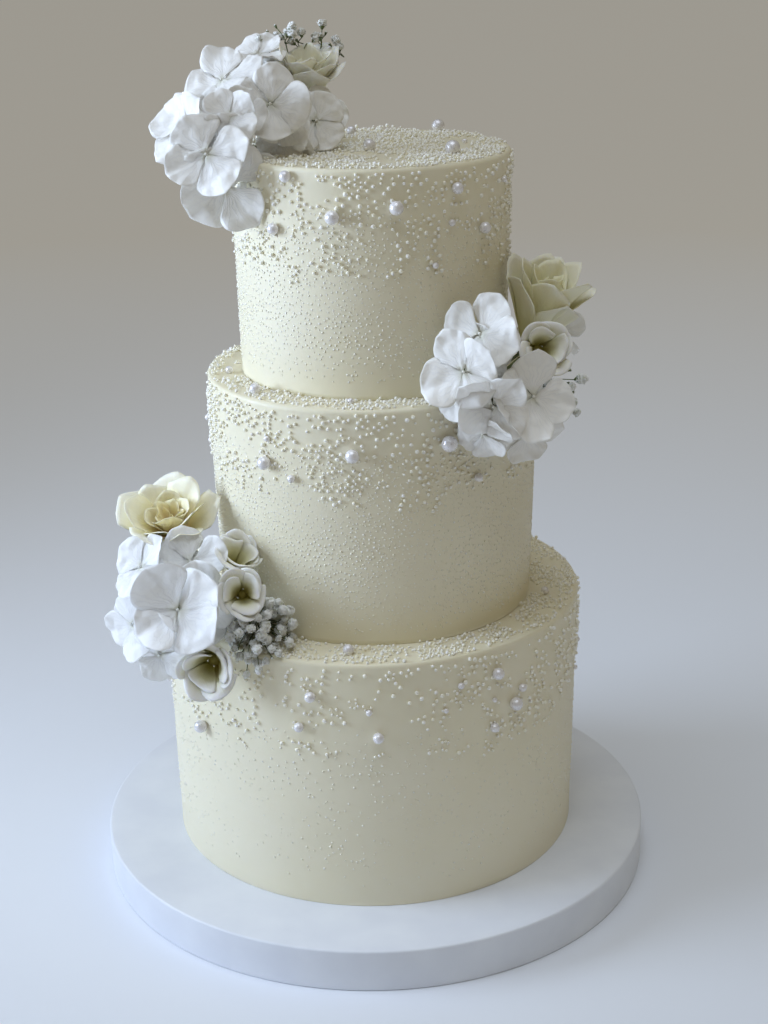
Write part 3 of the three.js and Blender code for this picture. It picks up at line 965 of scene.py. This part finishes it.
# Each posy: its foot and its flowers. Each flower: its node, its eye in millimetres, the way it
# faces, its turn about that line in degrees and its span. These repeat the CAD part's values.
POSIES = {
    "left": ((-72, -56, 190), [
        ("hydrangea_1", (-112, -114, 218), (-0.16, -0.9, 0.36), 32, 56),
        ("lisianthus_1", (-96, -122, 184), (-0.14, -0.95, 0.12), 0, 35),
        ("lisianthus_2", (-75, -112, 226), (0.06, -0.92, 0.38), 40, 29),
        ("hydrangea_2", (-136, -86, 234), (-0.56, -0.68, 0.48), 30, 42),
        ("hydrangea_3", (-143, -88, 198), (-0.66, -0.72, 0.16), -10, 40),
        ("hydrangea_4", (-126, -101, 184), (-0.36, -0.84, -0.3), 35, 38),
        ("hydrangea_5", (-106, -89, 238), (-0.02, -0.76, 0.65), 5, 43),
        ("lisianthus_3", (-78, -85, 241), (0.3, -0.46, 0.84), 20, 30),
        ("rose", (-121, -56, 253), (-0.08, -0.44, 0.88), 10, 64),
        ("hydrangea_6", (-140, -34, 220), (-0.8, 0.45, 0.38), 20, 44),
        ("gypsophila", (-65, -105, 200), (0.35, -0.85, 0.15), 0, 54),
    ]),
    "right": ((72, -58, 335), [
        ("hydrangea_1", (53, -114, 357), (-0.42, -0.86, 0.28), 8, 46),
        ("hydrangea_2", (69, -117, 338), (-0.05, -0.98, -0.12), 40, 44),
        ("hydrangea_3", (92, -106, 340), (0.4, -0.88, 0.14), 15, 47),
        ("hydrangea_4", (63, -97, 374), (-0.46, -0.78, 0.42), 50, 46),
        ("lisianthus_1", (101, -84, 362), (0.22, -0.9, 0.3), 0, 32),
        ("hydrangea_5", (91, -94, 315), (0.25, -0.8, -0.5), 25, 41),
        ("hydrangea_6", (64, -109, 320), (-0.3, -0.8, -0.5), 0, 36),
        ("rose", (104, -42, 380), (0.34, -0.26, 0.9), 0, 66),
        ("hydrangea_7", (112, -12, 354), (0.7, 0.6, 0.35), 10, 42),
        ("gypsophila", (111, -66, 330), (0.75, -0.6, -0.1), 0, 44),
    ]),
    "top": ((-46, -14, 466), [
        ("hydrangea_1", (-52, -43, 495), (0.02, -0.92, 0.36), -5, 44),
        ("hydrangea_2", (-27, -24, 483), (0.2, -0.9, 0.32), 60, 38),
        ("hydrangea_3", (-87, -66, 471), (-0.22, -0.93, 0.2), 10, 46),
        ("hydrangea_4", (-74, -56, 490), (-0.15, -0.85, 0.45), 35, 34),
        ("hydrangea_5", (-100, -42, 482), (-0.7, -0.6, 0.35), 10, 46),
        ("hydrangea_6", (-78, -62, 453), (-0.06, -0.98, -0.14), 45, 52),
        ("hydrangea_7", (-80, -20, 506), (-0.45, -0.42, 0.78), 0, 48),
        ("hydrangea_8", (-61, 2, 518), (-0.1, -0.4, 0.88), 40, 38),
        ("hydrangea_9", (-47, -38, 473), (-0.1, -0.95, 0), 20, 32),
        ("rose", (-33, 4, 507), (0.12, -0.3, 0.94), 0, 58),
        ("hydrangea_10", (-74, 28, 490), (-0.45, 0.75, 0.45), 15, 46),
        ("gypsophila", (-34, 26, 521), (0, 0.1, 1), 0, 42),
    ]),
}

FLORET_NECK = 6 * MM            # from a floret's eye back to its stalk
CUP_NECK = 2 * MM               # from the foot of a deeper flower back to its stalk
FLOWER_KINDS = {"hydrangea": hydrangea, "rose": rose, "lisianthus": lisianthus}


def make_posy(name, foot, flowers, rng):
    posy = SimpleNamespace(name=name, foot=Vector(foot) * MM, green=bmesh.new())
    for short, eye, facing, spin, span in flowers:
        flower = SimpleNamespace(
            node=f"{name}_{short}", eye=Vector(eye) * MM, facing=facing, spin=spin, span=span * MM)
        kind = short.split("_")[0]
        if kind == "gypsophila":
            gypsophila(flower, posy, rng)
            continue
        FLOWER_KINDS[kind](flower, rng)
        front = Vector(facing).normalized()
        behind = FLORET_NECK if kind == "hydrangea" else 0.5 * flower.span + CUP_NECK
        neck = flower.eye - front * behind
        add_rod(posy.green, neck - front * 5 * MM, neck, 0.7 * MM, 0.07 * flower.span, 8)
        bend = Vector((rng.gauss(0, 1), rng.gauss(0, 1), rng.gauss(0, 1))) * 3 * MM
        add_stem(posy.green, neck - front * 4 * MM, posy.foot, bend, 1.0 * MM)
    stand(f"{name}_stalks", mesh_of(posy.green, name), "stem", LOOKS.stem, [f"{name}_stems"])


# ---------- the whole cake ----------

LOOKS = SimpleNamespace(
    icing=buttercream(), board=board_paper(), pearl=pearl_coat(),
    bead=bead_sugar("white sugar beads", (0.94, 0.89, 0.74), (0.97, 0.94, 0.84), (0.98, 0.965, 0.91)),
    speck=bead_sugar("cream sugar grains", (0.88, 0.83, 0.64), (0.91, 0.87, 0.72), (0.95, 0.93, 0.84)),
    # The two hydrangea whites are one white painted under two light colours: cool light on the left posy,
    # warm light on the others.
    cool_petal=hydrangea_skin("hydrangea white, painted cool light", (0.94, 0.955, 0.975), (0.975, 0.98, 0.985)),
    warm_petal=hydrangea_skin("hydrangea white, painted warm light", (0.95, 0.935, 0.90), (0.98, 0.97, 0.94)),
    warm_rose=rose_skin("yellow cream rose", (0.95, 0.70, 0.30), (0.97, 0.89, 0.60), (0.97, 0.94, 0.80)),
    green_rose=rose_skin("green cream rose", (0.70, 0.66, 0.30), (0.90, 0.87, 0.62), (0.95, 0.92, 0.78)),
    cream_rose=rose_skin("cream rose", (0.90, 0.84, 0.52), (0.95, 0.92, 0.74), (0.96, 0.95, 0.88)),
    lisianthus=rose_skin("white lisianthus", (0.38, 0.34, 0.09), (0.82, 0.80, 0.56), (0.95, 0.945, 0.92)),
    puff=puff_white(), stem=stem_green())

stand_camera()
tiers = [tier_of(name) for name in ("bottom_tier", "middle_tier", "top_tier")]
bottom, middle, top = tiers
cover_board(LOOKS.board)
for tier in tiers:
    ice_tier(tier, LOOKS.icing)

found = list(large_pearls(tiers))
large = [(centre, size) for _, centre, size in found]
pearl_piece(
    "large_pearls", large, 4, LOOKS.pearl,
    [name for name, _, _ in found])

rng = random.Random(5)
small = []
for tier, upper in ((bottom, middle), (middle, top), (top, None)):
    small += small_pearls(tier, upper, large, rng)
pearl_piece("small_pearls", small, 3, LOOKS.pearl)

bead_ball = bmesh.new()
bmesh.ops.create_uvsphere(bead_ball, u_segments=7, v_segments=5, radius=1)
BEAD = kernel_of(bead_ball)
grain_ball = bmesh.new()
bmesh.ops.create_icosphere(grain_ball, subdivisions=1, radius=1)
GRAIN = kernel_of(grain_ball)

for tier, seed, count, deepest in ((bottom, 11, 1300, 60), (middle, 12, 1450, 52), (top, 13, 1050, 56)):
    rng = random.Random(seed)
    centres, sizes = strew_side(tier, rng, count, deepest * MM, SIDE_BEAD)
    stand(f"{tier.name}_side_beads", joined("beads", BEAD, centres, sizes), "pearl", LOOKS.bead)

for tier, upper, seed, count in (
        (bottom, middle, 21, 2900), (middle, top, 22, 1600), (top, None, 23, 1900)):
    rng = random.Random(seed)
    centres, sizes = strew_top(tier, upper, rng, count, LEDGE_BEAD)
    stand(f"{tier.name}_ledge_beads", joined("beads", BEAD, centres, sizes), "pearl", LOOKS.bead)

for tier, seed, count, highest, lowest in (
        (bottom, 31, 2300, 40, 150), (middle, 32, 7000, 26, 138), (top, 33, 4000, 24, 122)):
    rng = random.Random(seed)
    centres, sizes = strew_specks(tier, rng, count, highest * MM, lowest * MM, SPECK)
    stand(f"{tier.name}_specks", joined("specks", GRAIN, centres, sizes), "pearl", LOOKS.speck)

for number, (name, (foot, flowers)) in enumerate(POSIES.items()):
    make_posy(name, foot, flowers, random.Random(51 + number))

stand_lights(Vector((0, 0, middle.top)))

# ---------- the floor ----------

FLOOR_RADIUS = 12


def lay_floor():
    """A pale floor under the board, its colour painted light: cool white near the cake, where the cool lamp
    light falls, going over to a warm beige farther out that paints the warm room glow.
    """
    shape = bmesh.new()
    bmesh.ops.create_circle(shape, cap_ends=True, segments=96, radius=FLOOR_RADIUS)
    floor = bpy.data.objects.new("floor", mesh_of(shape, "floor"))
    made = Finish("pale floor", Roughness=0.6)
    away = made.node("ShaderNodeVectorMath", {"Vector": made.object}, operation="LENGTH").outputs["Value"]
    # Painted light: cool white near the middle, fading to warm beige about two metres out.
    uneven = made.maths("ADD", made.span(away, 0.35, 2.2), made.span(made.noise(3, 2), 0, 1, -0.03, 0.03))
    made.feed(made.shader.inputs["Base Color"], made.ramp(
        uneven, (0.0, (0.82, 0.85, 0.91)), (1.0, (0.80, 0.74, 0.65))))
    floor.data.materials.append(made.material)
    bpy.context.scene.collection.objects.link(floor)


lay_floor()
